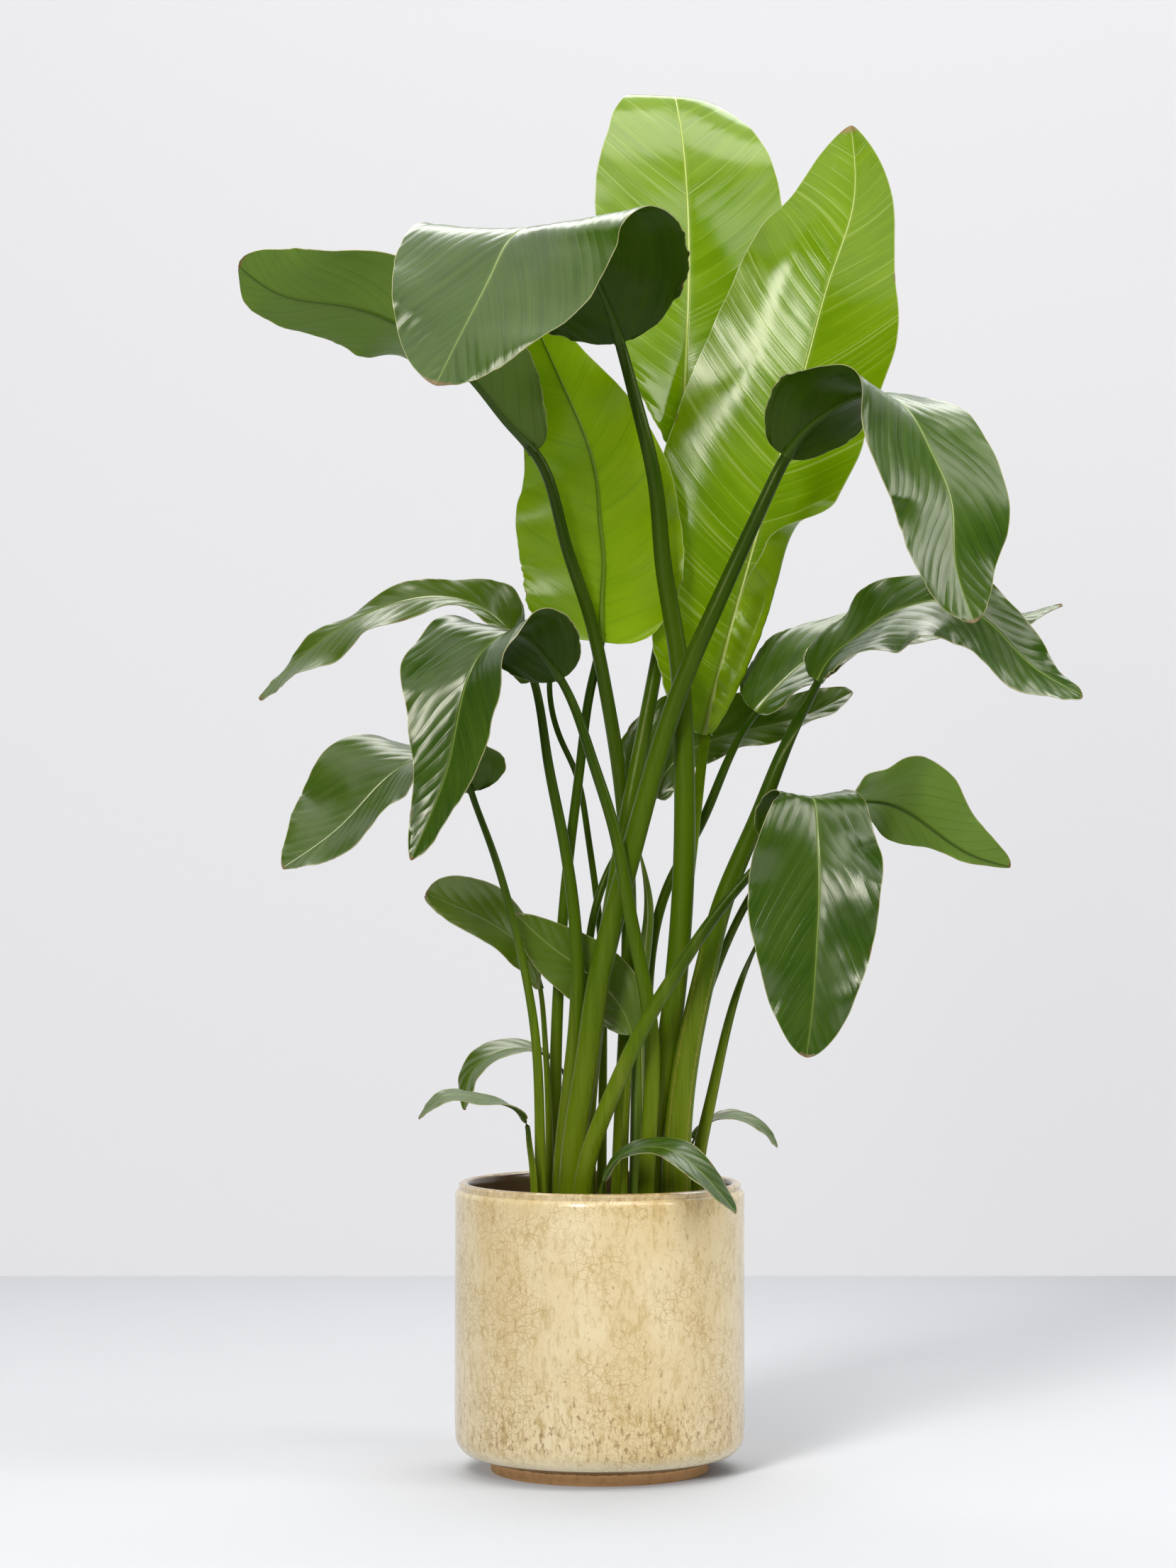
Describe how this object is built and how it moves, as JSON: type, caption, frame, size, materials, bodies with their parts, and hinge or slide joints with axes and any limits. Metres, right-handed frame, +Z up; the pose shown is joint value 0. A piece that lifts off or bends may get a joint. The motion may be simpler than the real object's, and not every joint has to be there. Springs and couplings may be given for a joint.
{
  "type": "potted plant",
  "caption": "Large potted bird of paradise with broad arching leaves on long stalks, in a glazed cylindrical planter on a narrow unglazed foot.",
  "frame": {"origin": "centre of the pot's foot, on the surface that it stands on", "axes": "+Z up along the pot's axis, -Y towards the side that the leaves are arranged for, +X to that viewer's right"},
  "size_m": [0.951, 0.5976, 1.6049],
  "materials": {
    "cream_glaze": "glossy crackle glaze, mottled cream and olive brown, bare terracotta foot",
    "dark_soil": "matt, crumbly potting mix",
    "green_leaf": "glossy deep green with a pale rib and fine side veins",
    "young_leaf": "glossy yellow green, lets light through",
    "green_stalk": "smooth satin green, yellower towards the base"
  },
  "bodies": {
    "root": {"pot": "cream_glaze", "soil": "dark_soil", "spear": "young_leaf", "blade_01": "young_leaf", "stalk_01": "green_stalk", "blade_02": "young_leaf", "stalk_02": "green_stalk", "blade_03": "green_leaf", "stalk_03": "green_stalk", "blade_04": "green_leaf", "stalk_04": "green_stalk", "blade_05": "young_leaf", "stalk_05": "green_stalk", "blade_06": "green_leaf", "stalk_06": "green_stalk", "blade_07": "green_leaf", "stalk_07": "green_stalk", "blade_08": "green_leaf", "stalk_08": "green_stalk", "blade_09": "green_leaf", "stalk_09": "green_stalk", "blade_10": "green_leaf", "stalk_10": "green_stalk", "blade_11": "green_leaf", "stalk_11": "green_stalk", "blade_12": "green_leaf", "stalk_12": "green_stalk", "blade_13": "green_leaf", "stalk_13": "green_stalk", "blade_14": "green_leaf", "stalk_14": "green_stalk", "blade_15": "green_leaf", "stalk_15": "green_stalk", "blade_16": "green_leaf", "stalk_16": "green_stalk", "blade_17": "green_leaf", "stalk_17": "green_stalk", "blade_18": "green_leaf", "stalk_18": "green_stalk", "blade_19": "green_leaf", "stalk_19": "green_stalk", "blade_20": "green_leaf", "stalk_20": "green_stalk", "blade_21": "green_leaf", "stalk_21": "green_stalk", "blade_22": "green_leaf", "stalk_22": "green_stalk"}
  },
  "joints": []
}
